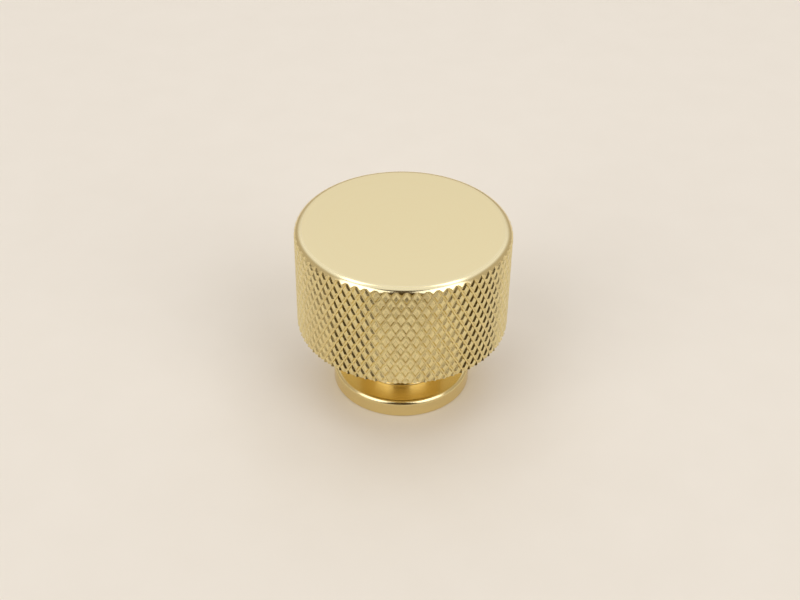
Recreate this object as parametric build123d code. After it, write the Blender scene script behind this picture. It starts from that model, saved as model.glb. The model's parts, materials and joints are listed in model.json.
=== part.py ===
from build123d import *
import math
import os

# Driving sizes, in millimetres and degrees
HEAD_DIAMETER = 30.0
HEAD_HEIGHT = 15.5
OVERALL_HEIGHT = 26.0
SHOULDER_WIDTH = 1.2
SHOULDER_DROP = 0.75
NECK_DIAMETER = 12.2
FOOT_DIAMETER = 19.8
FOOT_THICKNESS = 2.6
FOOT_EDGE_RADIUS = 0.4
FOOT_LOWER_CHAMFER = 0.15
KNURL_PITCH = 1.366
KNURL_ANGLE = 29.4
KNURL_DEPTH = 0.21
KNURL_TOP_SHARE = 0.45
KNURL_TOP_ROW_DROP = 0.2
KNURL_CLEARANCE = 0.02
TAP_DRILL_DIAMETER = 3.3
TAP_DRILL_DEPTH = 12.0
TAP_MOUTH_CHAMFER = 0.4
DRILL_POINT_ANGLE = 118.0

# Sizes that follow from them
head_radius = HEAD_DIAMETER / 2
head_underside = OVERALL_HEIGHT - HEAD_HEIGHT
knurl_count = round(math.pi * HEAD_DIAMETER / KNURL_PITCH)
half_step = math.pi / knurl_count
row_height = half_step * head_radius / math.tan(math.radians(KNURL_ANGLE))
top_row_level = OVERALL_HEIGHT - KNURL_TOP_ROW_DROP
groove_radius = head_radius - KNURL_DEPTH
on_base = (Align.CENTER, Align.CENTER, Align.MIN)


def groove_point(step, row):
    """A crossing of two knurl grooves, counted in half steps round and in rows down from the top row."""
    angle = step * half_step
    level = top_row_level - row * row_height
    return Vector(groove_radius * math.cos(angle), groove_radius * math.sin(angle), level)


def knurl_diamond(step, row):
    """The flat top and the four flanks of one raised diamond: a pyramid with its tip cut square."""
    outward = Vector(math.cos(step * half_step), math.sin(step * half_step), 0)
    tip_distance = head_radius + KNURL_DEPTH * KNURL_TOP_SHARE / (1 - KNURL_TOP_SHARE)
    tip = outward * tip_distance + Vector(0, 0, top_row_level - row * row_height)
    corners = [
        groove_point(step + 1, row),
        groove_point(step, row - 1),
        groove_point(step - 1, row),
        groove_point(step, row + 1),
    ]
    top = []
    for corner in corners:
        share = (tip_distance - head_radius) / (tip_distance - corner.dot(outward))
        top.append(tip + (corner - tip) * share)
    faces = [Face(Wire.make_polygon(top))]
    for side in range(4):
        after = (side + 1) % 4
        flank = [corners[side], corners[after], top[after], top[side]]
        faces.append(Face(Wire.make_polygon(flank)))
    return faces


def knurled_bar():
    """Round bar with diamonds all over its side, from below the head's underside to above its face."""
    first_row = -math.ceil(KNURL_TOP_ROW_DROP / row_height) - 1
    last_row = math.ceil(HEAD_HEIGHT / row_height) + 1
    faces = []
    for row in range(first_row, last_row + 1):
        for step in range(row % 2, 2 * knurl_count, 2):
            faces += knurl_diamond(step, row)
    for row, outer_row in ((first_row, first_row - 1), (last_row, last_row + 1)):
        centre = Vector(0, 0, top_row_level - outer_row * row_height)
        for step in range(row % 2, 2 * knurl_count, 2):
            for side in (-1, 1):
                end_triangle = [centre, groove_point(step, outer_row), groove_point(step + side, row)]
                faces.append(Face(Wire.make_polygon(end_triangle)))
    return Solid(Shell(faces))


def knurled_head():
    """The head's turned blank, with its rounded shoulder, cut down to the diamonds of the knurled bar."""
    radius = head_radius + KNURL_CLEARANCE
    face_edge = (radius - SHOULDER_WIDTH, 0, OVERALL_HEIGHT)
    wall_edge = (radius, 0, OVERALL_HEIGHT - SHOULDER_DROP)
    shoulder = TangentArc(face_edge, wall_edge, tangent=(1, 0, 0))
    underside = [(radius, 0, head_underside), (0, 0, head_underside)]
    rest = Polyline(wall_edge, *underside, (0, 0, OVERALL_HEIGHT), face_edge)
    blank = revolve(make_face(rest + shoulder), Axis.Z)
    return blank & knurled_bar()


def rims(shape, level):
    """The circular edges at one height, smallest first."""
    circles = shape.edges().filter_by(GeomType.CIRCLE)
    return circles.filter_by_position(Axis.Z, level, level).sort_by(SortBy.RADIUS)


def turned_stem():
    """The foot and the neck above it, up to the head's underside."""
    foot = Cylinder(FOOT_DIAMETER / 2, FOOT_THICKNESS, align=on_base)
    foot = chamfer(rims(foot, 0)[-1], FOOT_LOWER_CHAMFER)
    foot = fillet(rims(foot, FOOT_THICKNESS)[-1], FOOT_EDGE_RADIUS)
    return foot + Cylinder(NECK_DIAMETER / 2, head_underside, align=on_base)


def tapped_hole():
    """The blind hole for the fixing screw: chamfered mouth, wall of tap-drill size and drill point."""
    radius = TAP_DRILL_DIAMETER / 2
    mouth = Cone(radius + TAP_MOUTH_CHAMFER, radius, TAP_MOUTH_CHAMFER, align=on_base)
    wall = Cylinder(radius, TAP_DRILL_DEPTH, align=on_base)
    point_height = radius / math.tan(math.radians(DRILL_POINT_ANGLE / 2))
    point = Pos(0, 0, TAP_DRILL_DEPTH) * Cone(radius, 0, point_height, align=on_base)
    return mouth + wall + point


knob = knurled_head() + turned_stem() - tapped_hole()
knob.label = "knob"

os.makedirs("parts", exist_ok=True)
export_step(knob, "parts/knob.step", write_pcurves=False)
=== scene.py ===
import json
import math

import bmesh
import bpy
import numpy as np
from mathutils import Matrix, Vector


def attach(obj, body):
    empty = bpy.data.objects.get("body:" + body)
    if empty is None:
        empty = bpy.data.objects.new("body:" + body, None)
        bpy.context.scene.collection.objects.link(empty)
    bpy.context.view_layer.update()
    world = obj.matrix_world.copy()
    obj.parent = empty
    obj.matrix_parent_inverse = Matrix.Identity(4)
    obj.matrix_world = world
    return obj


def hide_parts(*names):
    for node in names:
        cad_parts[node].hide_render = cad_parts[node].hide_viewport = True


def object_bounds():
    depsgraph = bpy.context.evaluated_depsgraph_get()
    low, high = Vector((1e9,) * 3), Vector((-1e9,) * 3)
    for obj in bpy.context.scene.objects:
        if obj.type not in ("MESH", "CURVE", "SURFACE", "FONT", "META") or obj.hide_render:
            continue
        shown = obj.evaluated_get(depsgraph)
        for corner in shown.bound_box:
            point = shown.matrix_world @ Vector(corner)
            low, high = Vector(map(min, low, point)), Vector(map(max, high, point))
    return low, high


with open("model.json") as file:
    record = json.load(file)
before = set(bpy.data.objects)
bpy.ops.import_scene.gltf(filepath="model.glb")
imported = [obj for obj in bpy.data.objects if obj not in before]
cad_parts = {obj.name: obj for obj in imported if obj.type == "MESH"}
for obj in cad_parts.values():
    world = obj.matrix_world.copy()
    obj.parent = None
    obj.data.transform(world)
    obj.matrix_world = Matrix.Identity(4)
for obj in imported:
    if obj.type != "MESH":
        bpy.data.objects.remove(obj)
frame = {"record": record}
cad_low, cad_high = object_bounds()

# Sizes of the knob, in metres
MM = 0.001
HEAD_RADIUS = 15.0 * MM
OVERALL_HEIGHT = cad_high.z
HEAD_UNDERSIDE = 10.5 * MM
SHOULDER_WIDTH = 1.2 * MM
SHOULDER_DROP = 0.75 * MM
NECK_RADIUS = 6.1 * MM
NECK_CORNER = 0.15 * MM
FOOT_RADIUS = 9.9 * MM
FOOT_THICKNESS = 2.6 * MM
FOOT_EDGE_RADIUS = 0.65 * MM
FOOT_LOWER_CHAMFER = 0.15 * MM

# The tapped hole; the last two shape the thread's flanks and the flat between them
HOLE_DEPTH = 12.0 * MM
HOLE_MOUTH_CHAMFER = 0.4 * MM
DRILL_POINT_ANGLE = math.radians(118)
THREAD_MINOR_RADIUS = 1.65 * MM
THREAD_MAJOR_RADIUS = 2.0 * MM
THREAD_PITCH = 0.7 * MM
THREAD_FLANK_SLOPE = 3.2
THREAD_CUT_OFF = 1.5

# The knurl, whose shares are of the way from a diamond's middle to the groove crossings round it
KNURL_COUNT = 69
KNURL_ANGLE = math.radians(29.4)
KNURL_DEPTH = 0.215 * MM
KNURL_TOP_SHARE = 0.47
KNURL_FOOT_SHARE = 0.86
KNURL_EDGE_SHARE = 0.03
KNURL_TOP_ROW_DROP = 0.2 * MM
KNURL_CLEARANCE = 0.02 * MM
ROWS_ABOVE_TOP_ROW = 2
BAR_BELOW_FOOT = 1.0 * MM

# A diamond's four corners, in half steps to the right and rows down
CORNERS = ((1, 0), (0, -1), (-1, 0), (0, 1))

# Sizes that follow from them
half_step = math.pi / KNURL_COUNT
row_height = half_step * HEAD_RADIUS / math.tan(KNURL_ANGLE)
groove_radius = HEAD_RADIUS - KNURL_DEPTH
edge_radius = HEAD_RADIUS - KNURL_DEPTH * KNURL_EDGE_SHARE / (KNURL_FOOT_SHARE - KNURL_TOP_SHARE)
top_row_level = OVERALL_HEIGHT - KNURL_TOP_ROW_DROP

# Fineness of the mesh
SEGMENTS = 4 * KNURL_COUNT
FOOT_EDGE_STEPS = 10
NECK_CORNER_STEPS = 4
SHOULDER_STEPS = 20
ROWS_PER_THREAD = 6
EDGE_LOOP_GAP = 0.08 * MM
WELD_DISTANCE = 0.001 * MM
SHARP_ANGLE = math.radians(28)

# Places of the finishes among the knob's materials
TURNED = 0
DIAMOND = 1
# The grooves' material is darkened with painted shade
GROOVE = 2

# Colours of the brass. All but the pale gold carry painted shade: the deeper gold under the head, the
# darker golds of the knurl, and the still darker golds of its grooves
PALE_GOLD = tuple(frame["record"]["materials"][0]["base_color"])
# Painted shade under the head: the darker, deeper gold of the foot, neck and underside
UNDER_HEAD_SHADE_GOLD = (0.835, 0.69, 0.35)
# Painted shade on the knurled side: darker than the face's brass; the tone between these two varies at
# random from patch to patch
KNURL_SHADE_GOLD = (0.84, 0.72, 0.38)
KNURL_SHADE_DEEP_GOLD = (0.745, 0.625, 0.315)
# Painted shade in the grooves: darker than the diamonds; the tone between these two varies at random from
# patch to patch
GROOVE_SHADE_GOLD = (0.80, 0.675, 0.345)
GROOVE_SHADE_DEEP_GOLD = (0.72, 0.59, 0.29)

# Marks left by turning, and what is left of them on the face
TURNING_FEED = 0.3 * MM
TURNING_SPREAD = 0.4 * MM
TURNING_DEPTH = 0.005 * MM
TURNING_DETAIL = 3
TURNING_ROUGHNESS = 0.06
STREAK_ROUGHNESS = (0.11, 0.17)
FACE_SHARE_OF_MARKS = 0.06
FACE_EDGE = 0.03 * MM
FACE_ROUGHNESS = 0.26

# Marks on the knurl
KNURL_PATCH = 1.3 * MM
KNURL_PATCH_DETAIL = 2
KNURL_GRAIN = 0.35 * MM
KNURL_GRAIN_DETAIL = 3
KNURL_GRAIN_DEPTH = 0.012 * MM
KNURL_GRAIN_STRENGTH = (0.6, 1)
DIAMOND_ROUGHNESS = (0.14, 0.26)
GROOVE_ROUGHNESS = (0.28, 0.4)

# What a noise mostly spans
NOISE_SPAN = (0.3, 0.7)

# The floor
FLOOR_HALF_SIZE = 3.0
FLOOR_LOW = (0.815, 0.73, 0.57)
FLOOR_HIGH = (0.845, 0.76, 0.60)
FLOOR_ROUGHNESS = 0.75
FLOOR_MOTTLE_SCALE = 120
FLOOR_MOTTLE_DETAIL = 3

# The camera, fitted to the knob's outline in the photograph, and the foot's place from it in head radii
PHOTO_WIDTH = 800
FOCAL_PIXELS = 1287
SENSOR_WIDTH = 36
CLIP_START = 0.01
CAMERA_PITCH = math.radians(36.986)
CAMERA_ROLL = math.radians(0.846)
CAMERA_TURN = math.radians(1.9)
KNOB_RIGHT = 0.0228
KNOB_DOWN = 0.7087
KNOB_FORWARD = 12.75

# The tent, with brightness where 1 is white and places on a unit sphere round the knob
LIGHT_COLOUR = (0.91, 0.945, 1.09)
HORIZON_COLOUR = (0.51, 0.455, 0.385)
DARK_SIDE = (0.055, 0.033, 0.006)
BACKDROP_COLOUR = (0.80, 0.75, 0.69)
OPENING_HALF_WIDTH = 0.66
OPENING_TAPER = 0.4
OPENING_SHIFT = 0.08
OPENING_LEAN = 0.11
OPENING_EDGE = 0.08
OPENING_END = (-0.33, -0.18)
BACK_LIGHT_RISE = (0.18, 0.6)
BACK_LIGHT_SIDE = (0.45, 0.75)

# The lamps, with brightness on the same scale
SIDE_LAMP_AZIMUTH = math.radians(47)
SIDE_LAMP_RISE = math.radians(36)
SIDE_LAMP_DISTANCE = 3.0
SIDE_LAMP_WIDTH = 0.74 * SIDE_LAMP_DISTANCE
SIDE_LAMP_HEIGHT = 1.0 * SIDE_LAMP_DISTANCE
SIDE_LAMP_LEVEL = 1.62
TOP_LAMP_AZIMUTH = math.radians(127)
TOP_LAMP_RISE = math.radians(67)
TOP_LAMP_DISTANCE = 0.5
TOP_LAMP_WIDTH = 0.45 * TOP_LAMP_DISTANCE
TOP_LAMP_HEIGHT = 0.17 * TOP_LAMP_DISTANCE
TOP_LAMP_LEVEL = 1.6

# The cards that the knob mirrors
NEAR_CARD = dict(front=0.046, aside=0.0, width=0.08, height=0.008)
FAR_CARD = dict(front=0.12, aside=0.0425, width=0.115, height=0.022)
PALE_CARD = dict(front=0.12, aside=-0.0775, width=0.125, height=0.023)
PALE_CARD_COLOUR = (0.8, 0.74, 0.64)


def new_object(name, vertices, polygons, materials):
    mesh = bpy.data.meshes.new(name)
    mesh.from_pydata([tuple(vertex) for vertex in vertices], [], polygons)
    mesh.update()
    for material in materials:
        mesh.materials.append(material)
    piece = bpy.data.objects.new(name, mesh)
    bpy.context.scene.collection.objects.link(piece)
    return piece


def arc(centre, radius, start, end, steps):
    """Points of a round stretch of the profile, as (radius from the axis, height)."""
    angles = np.linspace(start, end, steps + 1)
    return [(centre[0] + radius * math.cos(a), centre[1] + radius * math.sin(a)) for a in angles]


def thread_rows():
    """Heights of the rings that make the thread, from the hole's bottom down to its mouth."""
    wall = HOLE_DEPTH - HOLE_MOUTH_CHAMFER
    count = round(wall / THREAD_PITCH * ROWS_PER_THREAD)
    return np.linspace(HOLE_DEPTH, HOLE_MOUTH_CHAMFER, count + 1)


def hole_profile():
    """The hole's outline, from its drill point down its wall to its mouth."""
    point_height = THREAD_MINOR_RADIUS / math.tan(DRILL_POINT_ANGLE / 2)
    points = [(0.0, HOLE_DEPTH + point_height)]
    points += [(THREAD_MINOR_RADIUS, height) for height in thread_rows()]
    points += [(THREAD_MINOR_RADIUS + HOLE_MOUTH_CHAMFER, 0.0)]
    return points


def foot_profile():
    """The outline of the foot, from its underside to its flat top."""
    rim_centre = (FOOT_RADIUS - FOOT_EDGE_RADIUS, FOOT_THICKNESS - FOOT_EDGE_RADIUS)
    points = [(FOOT_RADIUS - FOOT_LOWER_CHAMFER, 0.0), (FOOT_RADIUS, FOOT_LOWER_CHAMFER)]
    points += [(FOOT_RADIUS, rim_centre[1] - EDGE_LOOP_GAP)]
    points += arc(rim_centre, FOOT_EDGE_RADIUS, 0, math.pi / 2, FOOT_EDGE_STEPS)
    points += [(rim_centre[0] - EDGE_LOOP_GAP, FOOT_THICKNESS)]
    return points


def neck_profile():
    """The outline of the neck, from the foot's flat top to the head's underside."""
    root_centre = (NECK_RADIUS + NECK_CORNER, FOOT_THICKNESS + NECK_CORNER)
    points = [(root_centre[0] + EDGE_LOOP_GAP, FOOT_THICKNESS)]
    points += arc(root_centre, NECK_CORNER, -math.pi / 2, -math.pi, NECK_CORNER_STEPS)
    points += [(NECK_RADIUS, root_centre[1] + EDGE_LOOP_GAP)]
    points += [(NECK_RADIUS, HEAD_UNDERSIDE)]
    return points


def head_profile():
    """The outline of the head's blank, from its underside over the shoulder to the middle of its face."""
    radius = HEAD_RADIUS + KNURL_CLEARANCE
    sweep = 2 * math.atan(SHOULDER_DROP / SHOULDER_WIDTH)
    shoulder_radius = SHOULDER_WIDTH / math.sin(sweep)
    shoulder_centre = (radius - SHOULDER_WIDTH, OVERALL_HEIGHT - shoulder_radius)
    points = [(radius, HEAD_UNDERSIDE)]
    points += [(radius, OVERALL_HEIGHT - SHOULDER_DROP - EDGE_LOOP_GAP)]
    points += arc(shoulder_centre, shoulder_radius, math.pi / 2 - sweep, math.pi / 2, SHOULDER_STEPS)
    points += [(shoulder_centre[0] - EDGE_LOOP_GAP, OVERALL_HEIGHT), (0.0, OVERALL_HEIGHT)]
    return points


def thread_offset(angle, height):
    """How far the tapped wall stands outside the drilled one: a cut-off V that climbs one pitch a turn."""
    phase = (height / THREAD_PITCH - angle / (2 * math.pi)) % 1.0
    ridge = min(1.0, max(0.0, THREAD_CUT_OFF - THREAD_FLANK_SLOPE * abs(phase - 0.5)))
    ends = min(height - HOLE_MOUTH_CHAMFER, HOLE_DEPTH - height) / THREAD_PITCH
    return (THREAD_MAJOR_RADIUS - THREAD_MINOR_RADIUS) * ridge * min(1.0, max(0.0, ends))


def turned_blank(materials):
    """The knob before knurling, as a lathe mesh."""
    profile = hole_profile() + foot_profile() + neck_profile() + head_profile()
    vertices = [(0.0, 0.0, profile[0][1])]
    for radius, height in profile[1:-1]:
        for segment in range(SEGMENTS):
            angle = 2 * math.pi * segment / SEGMENTS
            reach = radius
            if radius == THREAD_MINOR_RADIUS:
                reach += thread_offset(angle, height)
            vertices.append((reach * math.cos(angle), reach * math.sin(angle), height))
    vertices.append((0.0, 0.0, profile[-1][1]))
    last = len(vertices) - 1
    top_ring = last - SEGMENTS
    polygons = []
    for segment in range(SEGMENTS):
        after = (segment + 1) % SEGMENTS
        polygons.append((0, 1 + segment, 1 + after))
        for low in range(1, top_ring, SEGMENTS):
            high = low + SEGMENTS
            polygons.append((low + segment, high + segment, high + after, low + after))
        polygons.append((top_ring + segment, last, top_ring + after))
    return new_object("turned_blank", vertices, polygons, materials)


class KnurlGrid:
    """The knurled bar's points, counted in half steps round it and in rows down from the top row."""

    def __init__(self):
        self.vertices = []
        self.crossings = {}

    def add(self, x, y, z):
        self.vertices.append((x, y, z))
        return len(self.vertices) - 1

    def point(self, radius, step, row):
        angle = step * half_step
        level = top_row_level - row * row_height
        return self.add(radius * math.cos(angle), radius * math.sin(angle), level)

    def crossing(self, step, row):
        """The point where two grooves cross, which the diamonds round it share."""
        key = (step % (2 * KNURL_COUNT), row)
        if key not in self.crossings:
            self.crossings[key] = self.point(groove_radius, *key)
        return self.crossings[key]

    def ring(self, step, row, share, radius):
        """Four points round a diamond's middle, a share of the way to its corners."""
        return [self.point(radius, step + share * across, row + share * down) for across, down in CORNERS]


def band(outer, inner):
    """The four faces between two rings of four points."""
    faces = []
    for side in range(4):
        after = (side + 1) % 4
        faces.append((outer[side], outer[after], inner[after], inner[side]))
    return faces


def knurl_diamond(grid, step, row):
    """One raised diamond: the strips of groove floor round it, then its flanks, bevel and flat top."""
    corners = [grid.crossing(step + across, row + down) for across, down in CORNERS]
    foot = grid.ring(step, row, KNURL_FOOT_SHARE, groove_radius)
    edge = grid.ring(step, row, KNURL_TOP_SHARE + KNURL_EDGE_SHARE, edge_radius)
    top = grid.ring(step, row, KNURL_TOP_SHARE - KNURL_EDGE_SHARE, HEAD_RADIUS)
    return band(corners, foot), band(foot, edge) + band(edge, top) + [tuple(top)]


def bar_ends(grid, first_row, last_row):
    """The bar's upper end, and its plain lower part with the end below the foot."""
    high_centre = grid.add(0.0, 0.0, top_row_level - (first_row - 1) * row_height)
    low_centre = grid.add(0.0, 0.0, -BAR_BELOW_FOOT)
    skirt_row = (top_row_level + BAR_BELOW_FOOT) / row_height
    skirt = [grid.point(groove_radius, step, skirt_row) for step in range(2 * KNURL_COUNT)]
    faces = []
    for step in range(2 * KNURL_COUNT):
        after = (step + 1) % (2 * KNURL_COUNT)
        highs = [grid.crossing(s, first_row - (s - first_row + 1) % 2) for s in (step, after)]
        lows = [grid.crossing(s, last_row + (s - last_row + 1) % 2) for s in (step, after)]
        faces.append((high_centre, highs[0], highs[1]))
        faces.append((lows[0], skirt[step], skirt[after], lows[1]))
        faces.append((low_centre, skirt[after], skirt[step]))
    return faces


def knurled_bar(materials):
    """A bar with raised, flat-topped diamonds round it, plain lower down, where the neck and foot are."""
    first_row = -ROWS_ABOVE_TOP_ROW
    last_row = math.ceil((top_row_level - HEAD_UNDERSIDE) / row_height) + 1
    grid = KnurlGrid()
    polygons = []
    finish = []
    for row in range(first_row, last_row + 1):
        for step in range(row % 2, 2 * KNURL_COUNT, 2):
            floors, raised = knurl_diamond(grid, step, row)
            polygons += floors + raised
            finish += [GROOVE] * len(floors) + [DIAMOND] * len(raised)
    ends = bar_ends(grid, first_row, last_row)
    polygons += ends
    finish += [DIAMOND] * len(ends)
    bar = new_object("knurled_bar", grid.vertices, polygons, materials)
    bar.data.polygons.foreach_set("material_index", finish)
    return bar


def clean(mesh):
    """Joins the points that coincide after the cut, and splits its many-sided faces into triangles."""
    form = bmesh.new()
    form.from_mesh(mesh)
    bmesh.ops.remove_doubles(form, verts=form.verts, dist=WELD_DISTANCE)
    many_sided = [face for face in form.faces if len(face.verts) > 4]
    bmesh.ops.triangulate(form, faces=many_sided)
    form.to_mesh(mesh)
    form.free()


def knurled_knob(materials):
    """The turned blank, cut down to the bar's diamonds where it stands outside them."""
    blank = turned_blank(materials)
    bar = knurled_bar(materials)
    cut = blank.modifiers.new("knurl", "BOOLEAN")
    cut.operation = "INTERSECT"
    cut.solver = "EXACT"
    cut.object = bar
    evaluated = blank.evaluated_get(bpy.context.evaluated_depsgraph_get())
    mesh = bpy.data.meshes.new_from_object(evaluated)
    mesh.name = "knob_body"
    for spent in (blank, bar):
        bpy.data.objects.remove(spent)
    clean(mesh)
    mesh.set_sharp_from_angle(angle=SHARP_ANGLE)
    smooth = [face.material_index == TURNED for face in mesh.polygons]
    mesh.polygons.foreach_set("use_smooth", smooth)
    piece = bpy.data.objects.new("knob_body", mesh)
    bpy.context.scene.collection.objects.link(piece)
    return piece


class NodeKit:
    """Helpers for one node tree, where an input takes another node's output or a plain value."""

    def __init__(self, tree):
        self.nodes = tree.nodes
        self.links = tree.links

    def feed(self, socket, value):
        if isinstance(value, bpy.types.NodeSocket):
            self.links.new(value, socket)
        else:
            socket.default_value = value

    def add(self, kind, inputs, **settings):
        node = self.nodes.new(kind)
        for name, value in settings.items():
            setattr(node, name, value)
        for name, value in inputs.items():
            self.feed(node.inputs[name], value)
        return node

    def coordinates(self, kind):
        return self.add("ShaderNodeTexCoord", {}).outputs[kind]

    def maths(self, operation, *values):
        return self.add("ShaderNodeMath", dict(enumerate(values)), operation=operation).outputs[0]

    def vector_maths(self, operation, *values):
        return self.add("ShaderNodeVectorMath", dict(enumerate(values)), operation=operation).outputs

    def ramp(self, source, span, to_low=0.0, to_high=1.0, interpolation="LINEAR"):
        low, high = span
        inputs = {"Value": source, "From Min": low, "From Max": high, "To Min": to_low, "To Max": to_high}
        return self.add("ShaderNodeMapRange", inputs, interpolation_type=interpolation).outputs["Result"]

    def soft_ramp(self, source, span, to_low=0.0, to_high=1.0):
        return self.ramp(source, span, to_low, to_high, "SMOOTHSTEP")

    def noise(self, place, scale, detail):
        inputs = {"Vector": place, "Scale": scale, "Detail": detail}
        return self.add("ShaderNodeTexNoise", inputs).outputs["Fac"]

    def tint(self, share, low, high):
        node = self.add("ShaderNodeValToRGB", {"Fac": share})
        node.color_ramp.elements[0].color = (*low, 1)
        node.color_ramp.elements[1].color = (*high, 1)
        return node.outputs["Color"]

    def bump(self, height, strength, distance):
        inputs = {"Height": height, "Strength": strength, "Distance": distance}
        return self.add("ShaderNodeBump", inputs).outputs["Normal"]

    def background(self, colour):
        return self.add("ShaderNodeBackground", {"Color": (*colour, 1)}).outputs[0]

    def mix(self, share, first, second):
        return self.add("ShaderNodeMixShader", {0: share, 1: first, 2: second}).outputs[0]


def new_material(name):
    """A material, with its node kit and the inputs of its shader."""
    material = bpy.data.materials.new(name)
    material.use_nodes = True
    kit = NodeKit(material.node_tree)
    return material, kit, kit.nodes["Principled BSDF"].inputs


def turning_lines(kit, place):
    """Fine lines round the axis: a noise over radius and height, which changes slowly on the way round."""
    flat = kit.add("ShaderNodeCombineXYZ", {"X": place["X"], "Y": place["Y"]}).outputs[0]
    level = kit.add("ShaderNodeCombineXYZ", {"Z": place["Z"]}).outputs[0]
    radius = kit.vector_maths("LENGTH", flat)["Value"]
    around = kit.vector_maths("NORMALIZE", flat)["Vector"]
    spread = (TURNING_SPREAD, TURNING_SPREAD, 0)
    spot = kit.vector_maths("MULTIPLY_ADD", around, spread, level)["Vector"]
    inputs = {"Vector": spot, "W": radius, "Scale": 1 / TURNING_FEED, "Detail": TURNING_DETAIL}
    return kit.add("ShaderNodeTexNoise", inputs, noise_dimensions="4D").outputs["Fac"]


def turned_brass():
    """Satin brass with fine lines left by turning: strong on the foot and neck, hardly any on the face. The
    foot, neck and underside are tinted a darker, deeper gold as painted shade under the head.
    """
    material, kit, shader = new_material("turned_brass")
    place = kit.add("ShaderNodeSeparateXYZ", {0: kit.coordinates("Object")}).outputs
    height = place["Z"]
    lines = turning_lines(kit, place)
    head = (HEAD_UNDERSIDE, OVERALL_HEIGHT - SHOULDER_DROP)
    marks = kit.ramp(height, head, 1.0, FACE_SHARE_OF_MARKS)
    streaks = kit.ramp(lines, NOISE_SPAN, *STREAK_ROUGHNESS)
    turned = kit.maths("MULTIPLY_ADD", marks, TURNING_ROUGHNESS, streaks)
    face = kit.ramp(height, (OVERALL_HEIGHT - FACE_EDGE, OVERALL_HEIGHT), 0.0, FACE_ROUGHNESS)
    kit.feed(shader["Metallic"], 1)
    # Painted shade: full darker, deeper gold on the foot, neck and underside, fading up the head into the
    # face's pale gold
    kit.feed(shader["Base Color"], kit.tint(kit.ramp(height, head), UNDER_HEAD_SHADE_GOLD, PALE_GOLD))
    kit.feed(shader["Roughness"], kit.maths("ADD", turned, face))
    kit.feed(shader["Normal"], kit.bump(lines, marks, TURNING_DEPTH))
    return material


def knurled_brass(name, deep, pale, roughness):
    """Brass pressed by the knurling wheels: each diamond a little different, with a faint grain. The two
    colours it is given are darkened below the face's brass as painted shade.
    """
    material, kit, shader = new_material(name)
    place = kit.coordinates("Object")
    patches = kit.noise(place, 1 / KNURL_PATCH, KNURL_PATCH_DETAIL)
    grain = kit.noise(place, 1 / KNURL_GRAIN, KNURL_GRAIN_DETAIL)
    strength = kit.ramp(patches, NOISE_SPAN, *KNURL_GRAIN_STRENGTH)
    kit.feed(shader["Metallic"], 1)
    kit.feed(shader["Base Color"], kit.tint(kit.ramp(patches, NOISE_SPAN), deep, pale))
    kit.feed(shader["Roughness"], kit.ramp(grain, NOISE_SPAN, *roughness))
    kit.feed(shader["Normal"], kit.bump(grain, strength, KNURL_GRAIN_DEPTH))
    return material


def floor():
    """A plain pale floor with a mottle that hardly shows."""
    material, kit, shader = new_material("floor")
    mottle = kit.noise(kit.coordinates("Object"), FLOOR_MOTTLE_SCALE, FLOOR_MOTTLE_DETAIL)
    kit.feed(shader["Base Color"], kit.tint(mottle, FLOOR_LOW, FLOOR_HIGH))
    kit.feed(shader["Roughness"], FLOOR_ROUGHNESS)
    size = FLOOR_HALF_SIZE
    corners = [(-size, -size, 0), (size, -size, 0), (size, size, 0), (-size, size, 0)]
    ground = new_object("floor", corners, [(0, 1, 2, 3)], [material])


def tent():
    """The world: a tent lit high at the back, dark towards the camera, which sees a plain backdrop."""
    world = bpy.data.worlds.new("tent")
    bpy.context.scene.world = world
    world.use_nodes = True
    kit = NodeKit(world.node_tree)
    view = {"Vector": kit.coordinates("Generated"), "Rotation": (0, 0, -CAMERA_TURN)}
    turned = kit.add("ShaderNodeMapping", view).outputs["Vector"]
    place = kit.add("ShaderNodeSeparateXYZ", {0: turned}).outputs
    height = place["Z"]
    middle = kit.maths("SUBTRACT", place["X"], OPENING_SHIFT)
    leaning = kit.maths("MULTIPLY_ADD", height, OPENING_LEAN, middle)
    spread = kit.maths("MULTIPLY_ADD", height, OPENING_TAPER, kit.maths("ABSOLUTE", leaning))
    beside = kit.soft_ramp(spread, (OPENING_HALF_WIDTH - OPENING_EDGE, OPENING_HALF_WIDTH + OPENING_EDGE))
    behind = kit.soft_ramp(place["Y"], OPENING_END)
    centre = kit.soft_ramp(kit.maths("ABSOLUTE", place["X"]), BACK_LIGHT_SIDE, 1.0, 0.0)
    lit = kit.maths("MULTIPLY", kit.soft_ramp(height, BACK_LIGHT_RISE), centre)
    wall = kit.mix(lit, kit.background(HORIZON_COLOUR), kit.background(LIGHT_COLOUR))
    inside = kit.mix(kit.maths("MAXIMUM", beside, behind), kit.background(DARK_SIDE), wall)
    path = kit.add("ShaderNodeLightPath", {}).outputs
    shown = kit.mix(path["Is Camera Ray"], inside, kit.background(BACKDROP_COLOUR))
    kit.feed(kit.nodes["World Output"].inputs["Surface"], shown)


def direction(azimuth, rise):
    """A direction from the knob: azimuth from the camera's side, to the right, and rise above the floor."""
    level = math.cos(rise)
    return Vector((math.sin(azimuth) * level, -math.cos(azimuth) * level, math.sin(rise)))


def lamp(around, place, width, height, level):
    """A soft lamp aimed at the middle of the knob, whose brightness is given as the world's is."""
    light = bpy.data.lights.new("soft_lamp", "AREA")
    light.shape = "RECTANGLE"
    light.size = width
    light.size_y = height
    light.color = LIGHT_COLOUR
    light.energy = level * math.pi * width * height
    holder = bpy.data.objects.new("soft_lamp", light)
    bpy.context.scene.collection.objects.link(holder)
    aim = place.to_track_quat("Z", "Y").to_matrix().to_4x4()
    target = Vector((0, 0, OVERALL_HEIGHT / 2))
    holder.matrix_world = around @ Matrix.Translation(place + target) @ aim


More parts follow.
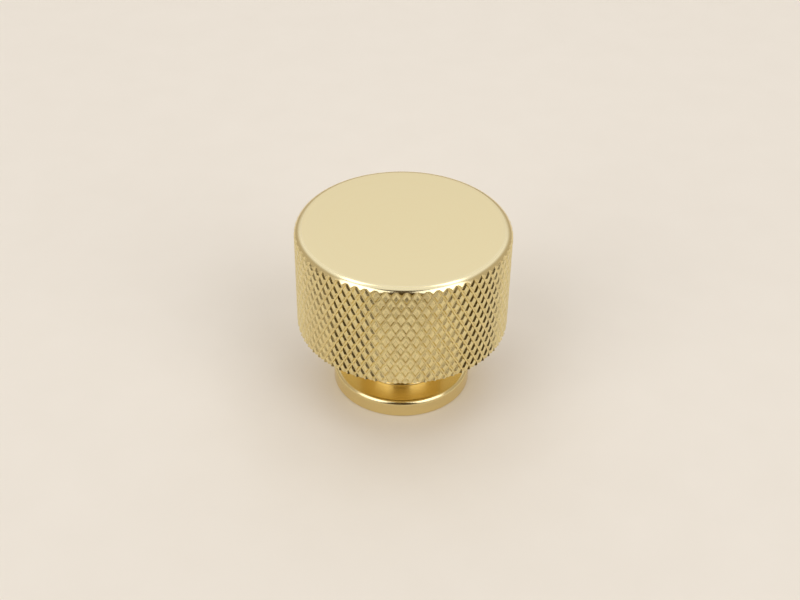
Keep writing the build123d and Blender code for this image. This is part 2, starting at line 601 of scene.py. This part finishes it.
def card(around, name, colour, front, aside, width, height):
    """A card that stands in front of the knob and shows only in its reflections."""
    material, kit, shader = new_material(name)
    kit.feed(shader["Base Color"], (*colour, 1))
    kit.feed(shader["Roughness"], 1)
    left = aside - width / 2
    right = aside + width / 2
    outline = [(left, 0), (right, 0), (right, height), (left, height)]
    corners = [around @ Vector((x, -front, z)) for x, z in outline]
    piece = new_object(name, corners, [(0, 1, 2, 3)], [material])
    piece.visible_camera = False
    piece.visible_diffuse = False
    piece.visible_shadow = False


def studio(around):
    """Four soft lamps, two at the sides and two above, and the cards."""
    for side in (-1, 1):
        beside = direction(side * SIDE_LAMP_AZIMUTH, SIDE_LAMP_RISE) * SIDE_LAMP_DISTANCE
        lamp(around, beside, SIDE_LAMP_WIDTH, SIDE_LAMP_HEIGHT, SIDE_LAMP_LEVEL)
        above = direction(side * TOP_LAMP_AZIMUTH, TOP_LAMP_RISE) * TOP_LAMP_DISTANCE
        lamp(around, above, TOP_LAMP_WIDTH, TOP_LAMP_HEIGHT, TOP_LAMP_LEVEL)
    card(around, "near_card", DARK_SIDE, **NEAR_CARD)
    card(around, "far_card", DARK_SIDE, **FAR_CARD)
    card(around, "pale_card", PALE_CARD_COLOUR, **PALE_CARD)


def camera(around):
    """The photograph's camera, set back from the middle of the foot's underside along its own axes."""
    level = math.cos(CAMERA_PITCH)
    dip = math.sin(CAMERA_PITCH)
    right = Vector((1, 0, 0))
    forward = Vector((0, level, -dip))
    down = Vector((0, -dip, -level))
    spot = -(right * KNOB_RIGHT + down * KNOB_DOWN + forward * KNOB_FORWARD) * HEAD_RADIUS
    turn = Matrix((right, -down, -forward)).transposed() @ Matrix.Rotation(CAMERA_ROLL, 3, "Z")
    lens = bpy.data.cameras.new("photo_camera")
    lens.sensor_width = SENSOR_WIDTH
    lens.lens = FOCAL_PIXELS / PHOTO_WIDTH * SENSOR_WIDTH
    lens.clip_start = CLIP_START
    holder = bpy.data.objects.new("photo_camera", lens)
    bpy.context.scene.collection.objects.link(holder)
    holder.matrix_world = around @ Matrix.Translation(spot) @ turn.to_4x4()
    bpy.context.scene.camera = holder


# Both knurl materials are darkened with painted shade, the grooves' more than the diamonds'
diamonds = knurled_brass("knurled_brass", KNURL_SHADE_DEEP_GOLD, KNURL_SHADE_GOLD, DIAMOND_ROUGHNESS)
grooves = knurled_brass("groove_brass_painted_shade", GROOVE_SHADE_DEEP_GOLD, GROOVE_SHADE_GOLD, GROOVE_ROUGHNESS)
knob = knurled_knob([turned_brass(), diamonds, grooves])
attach(knob, "root")
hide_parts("knob")
floor()
tent()
photo_turn = Matrix.Rotation(CAMERA_TURN, 4, "Z")
studio(photo_turn)
camera(photo_turn)
bpy.context.scene.view_settings.view_transform = "Standard"
